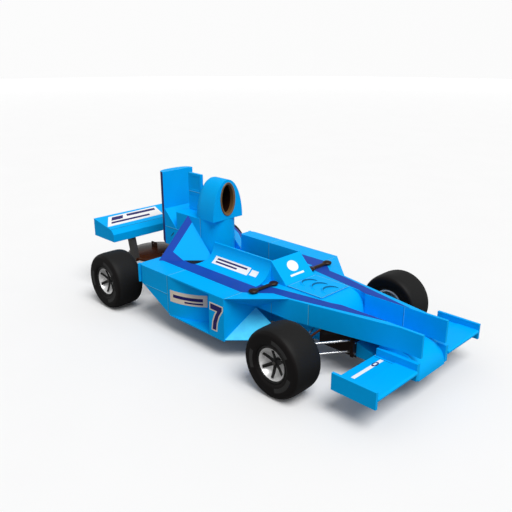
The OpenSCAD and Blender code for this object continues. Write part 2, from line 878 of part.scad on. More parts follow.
rim(-1, front_axle_x, front_y, spindle_r + run_clear);  // rim_front_right
rim(1, front_axle_x, front_y, spindle_r + run_clear);  // rim_front_left
rim(-1, rear_axle_x, rear_y, 0);  // rim_rear_right
rim(1, rear_axle_x, rear_y, 0);  // rim_rear_left
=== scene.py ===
# %% [markdown]
# # An open wheel racing car with a flat-panel body
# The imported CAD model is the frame: its nodes, bodies and joints are loaded first and never
# changed. Everything below either gives those nodes a finish, or adds a surface worked out with
# numpy that rides on one of the bodies. All lengths are metres; X runs forward, Y to the left.

# %% Load the frame
import json
from math import cos, radians, sin

import bmesh
import bpy
import numpy as np
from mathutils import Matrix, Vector


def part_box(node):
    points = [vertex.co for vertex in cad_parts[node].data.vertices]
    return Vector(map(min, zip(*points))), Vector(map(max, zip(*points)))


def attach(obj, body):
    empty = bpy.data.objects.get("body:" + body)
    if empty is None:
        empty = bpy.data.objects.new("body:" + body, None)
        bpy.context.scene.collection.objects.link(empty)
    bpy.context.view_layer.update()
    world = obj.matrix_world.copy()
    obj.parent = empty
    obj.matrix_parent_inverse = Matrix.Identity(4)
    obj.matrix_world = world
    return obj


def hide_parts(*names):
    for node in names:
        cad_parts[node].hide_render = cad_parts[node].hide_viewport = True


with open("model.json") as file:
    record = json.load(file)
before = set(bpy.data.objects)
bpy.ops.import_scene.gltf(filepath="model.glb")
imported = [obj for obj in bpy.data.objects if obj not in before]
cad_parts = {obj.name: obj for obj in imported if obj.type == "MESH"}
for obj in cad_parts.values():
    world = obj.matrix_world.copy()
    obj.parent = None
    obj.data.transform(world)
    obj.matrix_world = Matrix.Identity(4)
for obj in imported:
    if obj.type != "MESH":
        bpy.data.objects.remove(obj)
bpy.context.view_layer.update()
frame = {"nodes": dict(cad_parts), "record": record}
home = {node: body for body, nodes in frame["record"]["behaviour"]["bodies"].items() for node in nodes}

# %% [markdown]
# ## The panel module
# The body is laid out on one square module, the height of the cockpit rim above the deck. Places
# on the body are given in modules, measured forward from the tub's front face, to the left from
# the middle and up from the deck, so every stripe and seam follows the CAD model.

# %% The module and its origin
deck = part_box("sidepod_right")[1].z
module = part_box("cockpit_surround")[1].z - deck
tub_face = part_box("cockpit_surround")[1].x


def spot(*places):
    """Modules to metres: the tub's face, the middle and the deck plus the place times the module."""
    return np.array(places, float) * module + np.array([tub_face, 0.0, deck])


def other_side(points):
    """The same points on the other side of the car: Y turned round."""
    return np.asarray(points) * np.array([1.0, -1.0, 1.0])


def on_both(shapes):
    """The shapes and their mirror images."""
    return shapes + [(other_side(points), faces) for points, faces in shapes]


print("module", round(module, 4), "deck", round(deck, 4), "tub face", round(tub_face, 4))

# %% [markdown]
# ## Surfaces as arrays
# Nearly every new piece is a grid of points: rows run along it and columns run round its section.
# One function numbers the squares of any grid, and the shapes below only work out the points. A
# strip, a plate, a tube and a turned part are all such grids, so they all close the same way.

# %% Grids of points
def grid_shape(points, wrap_rows=False, wrap_columns=True, caps=True):
    """The corner numbers of each square are row times width plus column; caps close both ends."""
    rows, columns = points.shape[:2]
    row = np.arange(rows if wrap_rows else rows - 1)[:, None]
    column = np.arange(columns if wrap_columns else columns - 1)[None, :]
    below, beside = (row + 1) % rows, (column + 1) % columns
    corners = [row * columns + column, row * columns + beside,
               below * columns + beside, below * columns + column]
    faces = np.stack(corners, -1).reshape(-1, 4).tolist()
    if caps and not wrap_rows:
        faces += [list(range(columns)), list(range((rows - 1) * columns, rows * columns))]
    return points.reshape(-1, 3), faces


def plate(outline, normal, height=0.0012, sunk=0.001):
    """A thin plate: the outline moved along the normal from just under the surface to just over it."""
    outline = np.asarray(outline, float)
    lift = np.array([-sunk, height])[:, None, None] * np.asarray(normal, float) / np.linalg.norm(normal)
    return grid_shape(outline[None] + lift)


def strip(path, normal, width=0.004, height=0.001):
    """A flat bar along a path: half the width to each side, across both the path and the normal."""
    path = np.asarray(path, float)
    up = np.asarray(normal, float) / np.linalg.norm(normal)
    side = np.cross(np.gradient(path, axis=0), up)
    side *= 0.5 * width / np.linalg.norm(side, axis=1)[:, None]
    return grid_shape(np.stack([path - side - height * up, path + side - height * up,
                                path + side + height * up, path - side + height * up], 1))


# %% [markdown]
# ## Round shapes
# A tube carries a circle along a path, and a turned part carries a profile round the axle, as a
# lathe does. Both are grids too, so their ends close in the same way.

# %% Tubes and turned parts
def tube(path, radius, sides=20):
    """A round bar along a path: the path plus the radius times cos and sin of the turn."""
    path = np.asarray(path, float)
    ahead = np.gradient(path, axis=0)
    ahead /= np.linalg.norm(ahead, axis=1)[:, None]
    across = np.cross(ahead, np.eye(3)[np.argmin(np.abs(ahead).sum(0))])
    across /= np.linalg.norm(across, axis=1)[:, None]
    up = np.cross(across, ahead)
    turn = np.linspace(0, 2 * np.pi, sides, endpoint=False)[None, :, None]
    radius = np.broadcast_to(radius, len(path))[:, None, None]
    return grid_shape(path[:, None] + radius * (np.cos(turn) * across[:, None] + np.sin(turn) * up[:, None]))


def turned(profile, centre, sides=96, closed=True):
    """A part turned about the axle: each (outward, radius) pair swept round the axis along Y."""
    outward, radius = np.asarray(profile, float).T
    turn = np.linspace(0, 2 * np.pi, sides, endpoint=False)[:, None]
    ring = [radius * np.cos(turn), np.broadcast_to(outward, (sides, len(outward))), radius * np.sin(turn)]
    return grid_shape(np.stack(ring, -1) + np.asarray(centre), wrap_rows=True, wrap_columns=closed)


# %% [markdown]
# ## From arrays to objects
# A piece may be made of several grids. They are joined into one mesh, equal points are merged so
# that poles close, and the faces are turned outward. Edges sharper than thirty degrees stay sharp
# and the rest are shaded smooth. Then the piece is told which body carries it.

# %% Build a piece
SHARP = radians(30)


def tidy_mesh(name, points, faces, flatten=False):
    """One mesh from points and faces: equal points merged, flat neighbours joined if asked."""
    mesh = bpy.data.meshes.new(name)
    mesh.from_pydata(points.tolist(), [], faces)
    work = bmesh.new()
    work.from_mesh(mesh)
    bmesh.ops.remove_doubles(work, verts=work.verts, dist=2e-6)
    if flatten:
        bmesh.ops.dissolve_limit(work, angle_limit=radians(0.5), verts=work.verts, edges=work.edges)
    bmesh.ops.recalc_face_normals(work, faces=work.faces)
    work.to_mesh(mesh)
    work.free()
    mesh.polygons.foreach_set("use_smooth", np.ones(len(mesh.polygons), bool))
    mesh.set_sharp_from_angle(angle=SHARP)
    return mesh


def piece_from(mesh, paint, body, soften=0.0):
    """The object for a mesh, riding on its body, with a small rounding of its sharp edges."""
    obj = bpy.data.objects.new(mesh.name, mesh)
    bpy.context.scene.collection.objects.link(obj)
    for one in paint if isinstance(paint, list) else [paint]:
        mesh.materials.append(one)
    if soften:
        bevel = obj.modifiers.new("soft_edges", "BEVEL")
        bevel.width = soften
        bevel.segments = 2
        bevel.limit_method = "ANGLE"
        bevel.angle_limit = SHARP
        bevel.harden_normals = True
    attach(obj, body)
    return obj


def build(name, shapes, paint, body="chassis", soften=0.0):
    """Joins shapes, each a pair of points and faces, by adding the points counted so far."""
    starts = np.cumsum([0] + [len(points) for points, _ in shapes[:-1]]).tolist()
    faces = [[corner + start for corner in face]
             for (_, part), start in zip(shapes, starts) for face in part]
    points = np.concatenate([points for points, _ in shapes])
    return piece_from(tidy_mesh(name, points, faces), paint, body, soften)


# %% [markdown]
# ## Finishes
# Real paint is never one flat number: it has a faint cloudiness and its gloss varies a little.
# Every finish here is a noise read on Object coordinates, which tints the colour and the gloss by
# a few percent. What doesn't vary is set on the shader itself.

# %% A finish with a faint variation
def finish(name, colour, rough, metal=0.0, specular=0.5, spread=0.05, grain=6.0, relief=0.0,
           stretch=(1, 1, 1)):
    """Colour runs from (1 - spread) to (1 + spread) times itself with the noise, and gloss with it."""
    made = bpy.data.materials.new(name)
    made.use_nodes = True
    made.diffuse_color = (*colour, 1.0)
    nodes, links = made.node_tree.nodes, made.node_tree.links
    shader = nodes["Principled BSDF"]
    shader.inputs["Metallic"].default_value = metal
    shader.inputs["Specular IOR Level"].default_value = specular
    place = nodes.new("ShaderNodeMapping")
    place.inputs["Scale"].default_value = stretch
    links.new(nodes.new("ShaderNodeTexCoord").outputs["Object"], place.inputs["Vector"])
    noise = nodes.new("ShaderNodeTexNoise")
    noise.inputs["Scale"].default_value = grain
    noise.inputs["Detail"].default_value = 4.0
    links.new(place.outputs["Vector"], noise.inputs["Vector"])
    tint = nodes.new("ShaderNodeValToRGB")
    tint.color_ramp.elements[0].position = 0.3
    tint.color_ramp.elements[1].position = 0.7
    tint.color_ramp.elements[0].color = [*(max(0.0, c * (1 - spread)) for c in colour), 1.0]
    tint.color_ramp.elements[1].color = [*(min(1.0, c * (1 + spread)) for c in colour), 1.0]
    links.new(noise.outputs["Fac"], tint.inputs["Fac"])
    links.new(tint.outputs["Color"], shader.inputs["Base Color"])
    gloss = nodes.new("ShaderNodeMapRange")
    gloss.inputs["To Min"].default_value = max(0.03, rough - 0.06)
    gloss.inputs["To Max"].default_value = rough + 0.06
    links.new(noise.outputs["Fac"], gloss.inputs["Value"])
    links.new(gloss.outputs["Result"], shader.inputs["Roughness"])
    if relief:
        bump = nodes.new("ShaderNodeBump")
        bump.inputs["Strength"].default_value = 0.4
        bump.inputs["Distance"].default_value = relief
        links.new(noise.outputs["Fac"], bump.inputs["Height"])
        links.new(bump.outputs["Normal"], shader.inputs["Normal"])
    return made


# %% [markdown]
# ## The colours
# One call makes each finish. Paints are smooth and a little glossy, rubber is dull and grainy with
# a fine relief, and only bare metal has a metallic value. Brown plastic marks intake and mirrors.

# %% The finishes
sky_paint = finish("sky_paint", (0.0, 0.42, 0.95), 0.42, specular=0.05, spread=0.02)
pale_paint = finish("pale_sky_paint", (0.07, 0.62, 1.0), 0.42, specular=0.15, spread=0.12, grain=9.0)
royal_paint = finish("royal_paint", (0.011, 0.062, 0.40), 0.42, specular=0.08)
navy_paint = finish("navy_paint", (0.012, 0.008, 0.13), 0.33, specular=0.35)
white_paint = finish("white_paint", (0.9, 0.9, 0.9), 0.4, specular=0.3, spread=0.02)
beige_paint = finish("beige_paint", (0.82, 0.72, 0.6), 0.4, specular=0.3, spread=0.03)
# Dark blue for the panel joints, and painted shade in the scoop openings, the flap grooves and the wing's
# fold.
dark_joint_and_painted_shade = finish("dark_joint_and_painted_shade", (0.0, 0.13, 0.30), 0.6, specular=0.2)
# Lighter blue for a painted highlight on the lit edge beside each seam.
painted_seam_highlight = finish("painted_seam_highlight", (0.08, 0.58, 1.0), 0.4, specular=0.3)
dark_brown = finish("dark_brown_plastic", (0.016, 0.005, 0.002), 0.4, specular=0.3, spread=0.15)
copper_gloss = finish("copper_brown_gloss", (0.050, 0.014, 0.004), 0.24, specular=0.18, spread=0.15)
intake_brown = finish("intake_brown", (0.17, 0.090, 0.034), 0.35, specular=0.4, spread=0.12)
satin_black = finish("satin_black", (0.014, 0.011, 0.010), 0.45, spread=0.15)
duct_black = finish("duct_black", (0.008, 0.008, 0.010), 0.8, specular=0.2)
strut_metal = finish("brushed_strut_metal", (0.10, 0.095, 0.09), 0.35, metal=0.5, spread=0.10, grain=20.0,
                     stretch=(1, 1, 12))
cast_metal = finish("cast_metal", (0.28, 0.28, 0.29), 0.5, metal=0.8, spread=0.12, grain=60.0, relief=0.0008)
plated_tube = finish("plated_tube", (0.80, 0.80, 0.80), 0.22, metal=0.9, spread=0.04)
tread_rubber = finish("tread_rubber", (0.009, 0.009, 0.009), 0.6, specular=0.18, spread=0.18, grain=90.0,
                      relief=0.0004)
wall_rubber = finish("sidewall_rubber", (0.005, 0.004, 0.004), 0.5, specular=0.18, spread=0.15, grain=60.0)
# Lighter grey for the raised bands: painted sheen on the sidewalls' bulge.
sidewall_sheen = finish("painted_sidewall_sheen", (0.030, 0.030, 0.030), 0.6, specular=0.3, spread=0.15)
rim_metal = finish("polished_rim", (0.92, 0.92, 0.92), 0.30, metal=0.25, spread=0.05, grain=40.0)
spoke_black = finish("spoke_black", (0.006, 0.006, 0.006), 0.4, specular=0.3, spread=0.12)
seat_black = finish("seat_shell_black", (0.02, 0.018, 0.017), 0.6, spread=0.2, grain=120.0, relief=0.0006)
print("finishes", len(bpy.data.materials))

# %% [markdown]
# ## The body panels
# The CAD nodes have the right shapes, but they are loose triangles with knife edges. A real panel
# has a small radius on every fold, which catches the light as a thin line. So each node gets a
# merged copy with its folds rounded by a Bevel modifier, and the copy stands for the node.

# %% Merged copies with soft folds
def skin(node, paint, soften=0.0):
    """A copy of a node: its corner points rounded to a micrometre, and equal ones numbered once."""
    source = frame["nodes"][node].data
    points = np.empty(len(source.vertices) * 3)
    source.vertices.foreach_get("co", points)
    corners = np.empty(len(source.loops), int)
    source.loops.foreach_get("vertex_index", corners)
    unique, number = np.unique(points.reshape(-1, 3).round(6), axis=0, return_inverse=True)
    triangles = number.reshape(-1)[corners].reshape(-1, 3)
    triangles = triangles[(np.diff(np.sort(triangles, 1), axis=1) > 0).all(1)]
    mesh = tidy_mesh(node + "_skin", unique, triangles.tolist(), flatten=True)
    copy = piece_from(mesh, paint, home[node], soften)
    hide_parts(node)
    return copy


PANEL_FOLD = 0.0025
METAL_FOLD = 0.002
slots = {part["node"]: part["material_slot"] for part in frame["record"]["subparts"]}
panels = [node for node, slot in slots.items() if slot == "body_blue"]
for node in panels:
    skin(node, sky_paint, PANEL_FOLD)
print("painted panels", len(panels))

# %% [markdown]
# ## The running gear and the metal parts
# Tubes, castings and plastic parts keep their CAD shapes too. Only their finish differs, so one
# table of node and finish serves them all.

# %% Metal, plastic and cockpit parts
finishes = {
    "wing_struts": strut_metal, "engine_block": cast_metal, "gearbox": cast_metal,
    "rear_uprights": cast_metal, "knuckle_right": cast_metal, "knuckle_left": cast_metal,
    "tail_housing": copper_gloss, "front_bulkhead": dark_brown,
    "driver_seat": seat_black, "steering_wheel": satin_black,
    "front_wishbones": plated_tube, "rear_wishbones": plated_tube,
    "axle_shaft_right": plated_tube, "axle_shaft_left": plated_tube,
}
folded = ("wing_struts", "gearbox", "front_bulkhead")
for node, surface in finishes.items():
    skin(node, surface, METAL_FOLD if node in folded else 0.0)
print("parts with their own finish", len(finishes))

# %% [markdown]
# ## The tow plate
# The struts' crossbeam and the tow eye's plate stand in the tail housing and share its copper
# brown. They belong to the struts' mesh, so the second finish goes to the faces near the middle.

# %% A second finish on the struts
NEAR_MIDDLE = 0.1


def face_values(mesh, what):
    """One row of three numbers for each face: its middle or its direction."""
    values = np.empty(len(mesh.polygons) * 3)
    mesh.polygons.foreach_get(what, values)
    return values.reshape(-1, 3)


struts = bpy.data.objects["wing_struts_skin"].data
struts.materials.append(copper_gloss)
inside = np.abs(face_values(struts, "center")[:, 1]) < NEAR_MIDDLE
struts.polygons.foreach_set("material_index", inside.astype(int))
print("strut faces in copper brown", int(inside.sum()))

# %% [markdown]
# ## The tail blade
# The upright blade behind the notch has a navy curved back, but its flat front and its top are
# sky blue like the body. The paint is chosen by where each face looks.

# %% Two paints on the tail blade
blade = skin("tail_blade", [navy_paint, sky_paint], METAL_FOLD)
facing = face_values(blade.data, "normal")
sky_faces = (facing[:, 0] > 0.9) | (facing[:, 2] > 0.9)
blade.data.polygons.foreach_set("material_index", sky_faces.astype(int))
print("blade faces in sky blue", int(sky_faces.sum()))

# %% [markdown]
# ## Stripes
# A royal blue stripe runs from under each buttress along the coaming, over the shoulder and out to
# a point on the nose beam. Paint has no thickness, but a plate one millimetre proud stays apart
# from the panel below it, so each stripe is an outline in modules lifted along the panel's normal.

# %% Deck stripes and buttress bands
UP = (0, 0, 1)
LEFT = (0, 1, 0)
RIGHT = (0, -1, 0)
beam_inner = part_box("nose_floor")[1].y / module
beam_edge = beam_inner + 0.01
stripe = spot((-6.2, 2.02, 0), (-6.2, 2.85, 0), (0, 2.92, 0), (0.72, 2.35, 0), (1.1, 2.0, 0),
              (2.09, 1.86, 0), (6.3, beam_edge, 0), (4.02, beam_edge, 0), (3.6, 1.02, 0),
              (2.63, 1.16, 0), (0.79, 1.47, 0), (0.01, 1.62, 0), (0.01, 2.02, 0))
VENT_LIFT = 0.0022
sail = np.array([1.0, 1.0, 1.0])
band = spot((-6, 1, 2), (-6, 3, 0), (-5.11, 2.11, 0), (-5.69, 2.31, 0.38), (-5.69, 1, 1.69))
bow = np.linspace(0, 1, 15)[:, None]
foot_line = spot((-5.05, 2.05, 0)) * (1 - bow) + spot((-4.35, 1.35, 0)) * bow
rise = 0.5 * module * np.sin(np.pi * bow) * np.array([0.7, 0.7, 0.0])
lens_outline = np.concatenate([foot_line, (foot_line + rise)[::-1][1:-1]])
marks = on_both([plate(stripe, UP), plate(band, sail)])
build("royal_stripes", marks, royal_paint)
build("buttress_vents", on_both([plate(lens_outline, UP, VENT_LIFT)]), duct_black)
print("stripes and bands", len(marks))

# %% [markdown]
# ## Pale ramps
# The lower shoulders carry a paler, mottled blue on the face that slopes up to the tub. It is one
# three-cornered plate on each side, laid on that slope.

# %% Ramps on the lower shoulders
floor_level = (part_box("floor_pan")[1].z - deck) / module
ramp_face = np.array([1.0, 1.0, 2.0])
ramp_foot, ramp_top = floor_level + 0.01, floor_level + 0.985
shoulder_ramp = spot((0.02, 3.97, ramp_foot), (1.97, 2.02, ramp_foot), (0.02, 2.02, ramp_top))
build("shoulder_ramps", on_both([plate(shoulder_ramp, ramp_face)]), pale_paint)
print("ramps laid on the lower shoulders")

# %% [markdown]
# ## Rolled corners of the sidepods
# The outer rear corner of each sidepod ends in a small upright roll, as where a sheet is curled
# round a wire. It is a round bar that touches the outer wall and stands out behind the tail.

# %% Upright rolls
ROLL_RADIUS = 0.020
pod_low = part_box("sidepod_right")[0]
roll_y = pod_low.y + ROLL_RADIUS
roll_line = [(pod_low.x, roll_y, deck - 0.97 * module), (pod_low.x, roll_y, deck - 0.001)]
tail_roll = tube(roll_line, ROLL_RADIUS, 32)
build("pod_tail_rolls", on_both([tail_roll]), sky_paint, soften=METAL_FOLD)
print("rolls stand", ROLL_RADIUS, "m out behind the sidepods")

# %% [markdown]
# ## Seams
# The body is bolted together from panels, and the joints show as a dark gap with a lit edge
# beside it. Each seam is a path on a face, made as two thin strips: one dark for the gap, and one
# light as a painted highlight on the lit edge.

# %% Panel seams
GAP_WIDTH = 0.004
EDGE_WIDTH = 0.007
EDGE_OFFSET = 0.0055
dark_lines, highlight_lines = [], []


def seam(path, normal, both=True):
    """A dark strip on the path and a light one beside it as a painted highlight: the offset times path cross
    normal.
    """
    points = spot(*path)
    beside = np.cross(points[-1] - points[0], normal)
    beside *= EDGE_OFFSET / np.linalg.norm(beside)
    dark = [strip(points, normal, GAP_WIDTH)]
    light = [strip(points + beside, normal, EDGE_WIDTH)]
    dark_lines.extend(on_both(dark) if both else dark)
    highlight_lines.extend(on_both(light) if both else light)


taper = np.array([1.0, 5.0, 0.0])
seam([(-4.02, 4, -1.98), (-4.02, 4, -0.02)], LEFT)
seam([(-5.9, 4, -1), (-4.05, 4, -1)], LEFT)
seam([(-2, 0.909, 0.02), (-2, 0.909, 0.98)], RIGHT)
seam([(0, 2.0, 0), (0, 3.98, 0)], UP)
seam([(1, 2, -0.98), (1, 2, -0.02)], LEFT)
seam([(3, 1.8, -0.98), (3, 1.8, -0.02)], taper)
seam([(6, beam_inner, -0.9), (6, beam_inner, -0.02)], RIGHT)
seam([(-5, 1, 0.02), (-5, 1, 1.98)], LEFT)
seam([(-6.98, 1, 1), (-5.02, 1, 1)], LEFT)
seam([(-7.98, 1, 1), (-7.02, 1, 1)], LEFT)
seam([(-6.98, 0.0915, 3), (-6.02, 0.0915, 3)], LEFT)
seam([(1.02, 1, 0.05), (2.98, 1, 0.05)], UP)
seam([(3, -0.98, 0.05), (3, 0.98, 0.05)], UP, both=False)
seam([(1.02, -0.98, 0.05), (1.02, 0.98, 0.05)], UP, both=False)
seam([(-4.02, 2.05, 0), (-4.02, 3.98, 0)], UP)
build("panel_gaps", dark_lines, dark_joint_and_painted_shade)
# The light strips are painted highlights on the lit edges beside the gaps.
build("panel_edge_highlights", highlight_lines, painted_seam_highlight)
slot_outline = spot((-7.55, 1, 0.50), (-7.50, 1, 0.60), (-7.27, 1, 0.82), (-7.30, 1, 0.72))
build("cover_slots", on_both([plate(slot_outline, LEFT)]), duct_black)
print("seams", len(dark_lines))

# %% [markdown]
# ## Racing number
# The racing number is an outline cut from sheet, on a slightly larger pale sheet. It has to read
# the right way on both sides, so the left one is turned end for end as well as moved across.

# %% The number seven
def turned_end(points, middle):
    """The same outline on the left side: Y turned round, and X turned about the middle to read well."""
    return np.asarray(points) * [-1.0, -1.0, 1.0] + [2 * middle, 0.0, 0.0]


BAR_LIFT = 0.002
seven = spot((-0.88, -4, -0.46), (-0.12, -4, -0.46), (-0.12, -4, -0.62), (-0.34, -4, -0.95),
             (-0.47, -4, -1.32), (-0.52, -4, -1.68), (-0.76, -4, -1.68), (-0.70, -4, -1.30),
             (-0.57, -4, -0.98), (-0.42, -4, -0.72), (-0.88, -4, -0.72))
seven_edge = spot((-0.94, -4, -0.40), (-0.05, -4, -0.40), (-0.05, -4, -0.64), (-0.28, -4, -0.98),
                  (-0.41, -4, -1.34), (-0.45, -4, -1.74), (-0.83, -4, -1.74), (-0.77, -4, -1.28),
                  (-0.64, -4, -0.94), (-0.54, -4, -0.78), (-0.94, -4, -0.78))
middle = spot((-0.5, 0, 0))[0, 0]
borders = [plate(seven_edge, RIGHT), plate(turned_end(seven_edge, middle), LEFT)]
build("number_border", borders, beige_paint)
digits = [plate(seven, RIGHT, BAR_LIFT), plate(turned_end(seven, middle), LEFT, BAR_LIFT)]
build("racing_number", digits, navy_paint)
print("racing number on both sides")

# %% [markdown]
# ## Bent sheets
# The other markings are plain sheets with bars. Those on the vents' curved walls and in the
# hollow of the coaming are bent: an arc with a second arc a millimetre off it, carried along.

# %% Bent sheets on the vents and the coaming
SHEET_LIFT = 0.001


def bent_sheet(arc, lifted, low, high, axis):
    """A sheet with the arc as one face and the lifted arc as the other, carried from low to high."""
    loop = np.concatenate([arc, lifted[::-1]])
    ends = np.repeat(loop[None], 2, 0)
    ends[0, :, axis], ends[1, :, axis] = low, high
    return grid_shape(ends)


def vent_arc(start, stop, off):
    """Round the vent's wall: the centre plus the radius plus the offset, times cos and sin."""
    turn, radius = np.radians(np.linspace(start, stop, 25)), 3 * module + off
    hub = spot((-4, -1, 0))[0]
    return np.stack([hub[0] + radius * np.cos(turn), hub[1] - radius * np.sin(turn), 0 * turn], -1)


def pipe_arc(start, stop, off):
    """Down the coaming's hollow: the centre less the radius, which the offset makes smaller."""
    turn, radius = np.radians(np.linspace(start, stop, 17)), module - 0.002 - off
    hub = spot((0, -2, 1))[0]
    return np.stack([0 * turn, hub[1] + radius * np.cos(turn), hub[2] - radius * np.sin(turn)], -1)


def vent_sheet(start, stop, low, high, off):
    """One sheet on the vent's wall between two turns and two heights in modules."""
    heights = spot((0, 0, low), (0, 0, high))[:, 2]
    return bent_sheet(vent_arc(start, stop, -SHEET_LIFT), vent_arc(start, stop, off), *heights, 2)


def pipe_sheet(start, stop, rear, front, off):
    """One sheet in the coaming's hollow between two turns and two places along it in modules."""
    places = spot((rear, 0, 0), (front, 0, 0))[:, 0]
    return bent_sheet(pipe_arc(start, stop, -SHEET_LIFT), pipe_arc(start, stop, off), *places, 0)


build("vent_panels", on_both([vent_sheet(48, 87, -1.27, -0.68, SHEET_LIFT)]), beige_paint)
vent_bars = [vent_sheet(52, 83, -1.02, -0.86, BAR_LIFT), vent_sheet(52, 70, -1.18, -1.10, BAR_LIFT)]
build("vent_panel_bars", on_both(vent_bars), navy_paint)
coaming_sheets = [pipe_sheet(36, 62, -3.6, -1.1, SHEET_LIFT),
                  pipe_sheet(40, 58, -1.0, -0.55, SHEET_LIFT)]
build("coaming_panels", on_both(coaming_sheets), white_paint)
coaming_bars = [pipe_sheet(41, 46, -3.4, -1.3, BAR_LIFT),
                pipe_sheet(51, 56, -3.4, -1.9, BAR_LIFT)]
build("coaming_panel_bars", on_both(coaming_bars), navy_paint)
print("bent sheets on the vents and in the coaming")

# %% [markdown]
# ## Panel on the rear wing
# The rear wing's top is one slope from its high rear edge to its low front edge. The panel and its
# bars are outlines in modules, and the slope gives the height of each corner.

# %% Flat panels on the rear wing
WING_FRONT_HEIGHT = 0.7
WING_DEPTH = 12.1 - 10.34
wing_low, wing_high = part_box("rear_wing")
wing_top = (wing_high.z - deck) / module
top_slope = np.array([wing_top - WING_FRONT_HEIGHT, 0.0, WING_DEPTH])


def on_wing(*places):
    """Points on the wing's top, in modules: the height falls by the slope times X from the rear."""
    rear = (wing_low.x - tub_face) / module
    slope = top_slope[0] / top_slope[2]
    return spot(*[(x, y, wing_top - slope * (x - rear)) for x, y in places])


wing_panel = on_wing((-11.85, -2.2), (-10.75, -2.95), (-10.8, 0.9), (-11.92, 1.15))
wing_bars = [on_wing((-11.72, -2.05), (-11.35, -2.32), (-11.35, -1.55), (-11.72, -1.3)),
             on_wing((-11.75, -1.05), (-11.5, -1.15), (-11.5, 0.85), (-11.75, 0.95)),
             on_wing((-11.2, -2.4), (-11.0, -2.55), (-11.0, 0.1), (-11.2, 0.2))]
build("wing_panel", [plate(wing_panel, top_slope)], white_paint)
build("wing_panel_bars", [plate(bar, top_slope, BAR_LIFT) for bar in wing_bars], navy_paint)
print("bars on the rear wing", len(wing_bars))

# %% [markdown]
# ## Disc and label on the cowl
# The cowl falls forward at forty-five degrees. A white disc and a bar lie on it, so every step
# forward is also a step down.

# %% Disc and label on the cowl
ramp = np.array([1.0, 0.0, 1.0])
turn = np.linspace(0, 2 * np.pi, 48, endpoint=False)
disc_middle = np.array([0.40, 0.05, 0.60])
up_ramp = np.sin(turn)[:, None] * [0.2, 0.0, -0.2]
disc = spot(*(disc_middle + up_ramp + np.cos(turn)[:, None] * [0.0, 0.34, 0.0]))
label = spot((0.68, -0.42, 0.32), (0.75, -0.42, 0.25), (0.75, 0.5, 0.25), (0.68, 0.5, 0.32))
build("cowl_roundel", [plate(disc, ramp), plate(label, ramp)], white_paint)
print("disc and label on the cowl")

# %% [markdown]
# ## Front flaps
# The right flap carries a white strip with a dark oval and a small white bar in it. Beside the
# inner fence a dark strip of painted shade marks a groove along each flap.

# %% Strip, mark and grooves on the front flaps
flap_low, flap_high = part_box("front_flaps")
flap_top = flap_high.z
INNER_LIFT = 0.003
STRIP_RIGHT, STRIP_LEFT = -0.732, -0.300
MARK_Y = -0.406
strip_rear, strip_front = np.array([0.40, 0.57]) * (flap_high.x - flap_low.x) + flap_low.x
mark_x = (strip_rear + strip_front) / 2
flap_strip = [(strip_rear, STRIP_RIGHT, flap_top), (strip_front, STRIP_RIGHT, flap_top),
              (strip_front, STRIP_LEFT, flap_top), (strip_rear, STRIP_LEFT, flap_top)]
inner_bar = [(mark_x - 0.011, MARK_Y - 0.022, flap_top), (mark_x + 0.011, MARK_Y - 0.022, flap_top),
             (mark_x + 0.011, MARK_Y + 0.022, flap_top), (mark_x - 0.011, MARK_Y + 0.022, flap_top)]
oval_mark = np.stack([mark_x + 0.024 * np.sin(turn), MARK_Y + 0.046 * np.cos(turn),
                      0 * turn + flap_top], -1)
build("flap_strip", [plate(flap_strip, UP), plate(inner_bar, UP, INNER_LIFT)], white_paint)
build("flap_strip_mark", [plate(oval_mark, UP, BAR_LIFT)], navy_paint)
groove_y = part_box("front_fences")[0].y - 0.028
groove_line = [(flap_low.x + 0.012, groove_y, flap_top), (flap_high.x - 0.004, groove_y, flap_top)]
# The groove is a flat dark strip: painted shade, with no recess cut.
build("flap_groove_shade", on_both([strip(groove_line, UP, 0.006)]), dark_joint_and_painted_shade)
print("strip on the right flap, a groove on each")

# %% [markdown]
# ## Fold of the rear wing
# The rear wing's sheet is folded down near its front edge, and the shade in the fold is painted
# as one dark line across the whole wing. It is a strip like the seams, a little short of both ends.

# %% Painted shade on the fold
FOLD_X = -10.38
fold_y = wing_high.y / module - 0.03
wing_fold = strip(on_wing((FOLD_X, -fold_y), (FOLD_X, fold_y)), top_slope, EDGE_WIDTH)
# A dark strip of painted shade along the fold.
build("wing_fold_shade", [wing_fold], dark_joint_and_painted_shade)
print("fold", round(2 * fold_y * module, 3), "m long")

# %% [markdown]
# ## Intake
# The airbox swallows air through an upright oval. Its mouth has a rounded lip of copper-brown
# moulding that carries on inwards as a narrowing duct, so one section is carried round an oval.

# %% Lip and duct of the airbox
def oval(section, half_width, half_height, centre, sides=72):
    """(forward, inset) pairs carried round: each half size less the inset, times cos or sin."""
    forward, inset = np.asarray(section, float).T
    turn = np.linspace(0, 2 * np.pi, sides, endpoint=False)[:, None]
    ring = [np.broadcast_to(forward, (sides, len(forward))),
            (half_width - inset) * np.cos(turn), (half_height - inset) * np.sin(turn)]
    return grid_shape(np.stack(ring, -1) + np.asarray(centre), wrap_rows=True)


MOUTH_HALF_WIDTH = 0.110
MOUTH_HALF_HEIGHT = 0.189
mouth_centre = [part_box("airbox")[1].x, 0.0, deck + 2 * module + 0.229]
lip_section = [(-0.05, 0.001), (-0.004, 0.001), (0.004, -0.002), (0.009, 0.003), (0.008, 0.012),
               (0.0, 0.025), (-0.05, 0.028)]
duct_section = [(-0.192, 0.109), (-0.192, 0.003), (-0.048, 0.003), (-0.048, 0.029),
                (-0.17, 0.036), (-0.186, 0.109)]
lip = oval(lip_section, MOUTH_HALF_WIDTH, MOUTH_HALF_HEIGHT, mouth_centre)
duct = oval(duct_section, MOUTH_HALF_WIDTH, MOUTH_HALF_HEIGHT, mouth_centre)
build("intake_lip", [lip], intake_brown)
build("intake_throat", [duct], dark_brown)
print("intake at", np.round(mouth_centre, 3))

